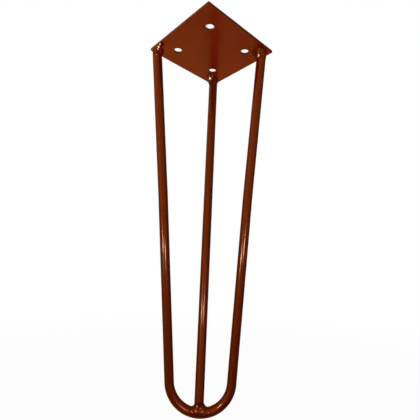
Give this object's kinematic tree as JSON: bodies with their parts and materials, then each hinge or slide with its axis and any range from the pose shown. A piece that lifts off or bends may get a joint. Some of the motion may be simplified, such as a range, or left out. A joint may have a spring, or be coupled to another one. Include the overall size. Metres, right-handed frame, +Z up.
{
  "type": "hairpin table leg",
  "caption": "Steel hairpin table leg: a bent round rod and a straight rod welded under a square screw plate, finished in glossy copper-brown paint.",
  "frame": {"origin": "middle of the mounting plate's top face, the face that goes against the underside of the table", "axes": "+Z up out of that face, so the leg hangs down along -Z; X runs along the plate's diagonal between the corners that carry the arms of the bent rod; +Y points along the other diagonal to the corner that carries the straight rod, the table's outer corner"},
  "size_m": [0.1552, 0.1552, 0.4571],
  "materials": {
    "plate_paint": "gloss copper-brown paint",
    "rod_paint": "gloss copper-brown paint",
    "weld_paint": "gloss copper-brown paint over a weld bead"
  },
  "bodies": {
    "root": {"mounting_plate": "plate_paint", "hairpin_rod": "rod_paint", "centre_rod": "rod_paint", "weld_left_arm": "weld_paint", "weld_right_arm": "weld_paint", "weld_centre_rod": "weld_paint", "weld_foot": "weld_paint"}
  },
  "joints": []
}
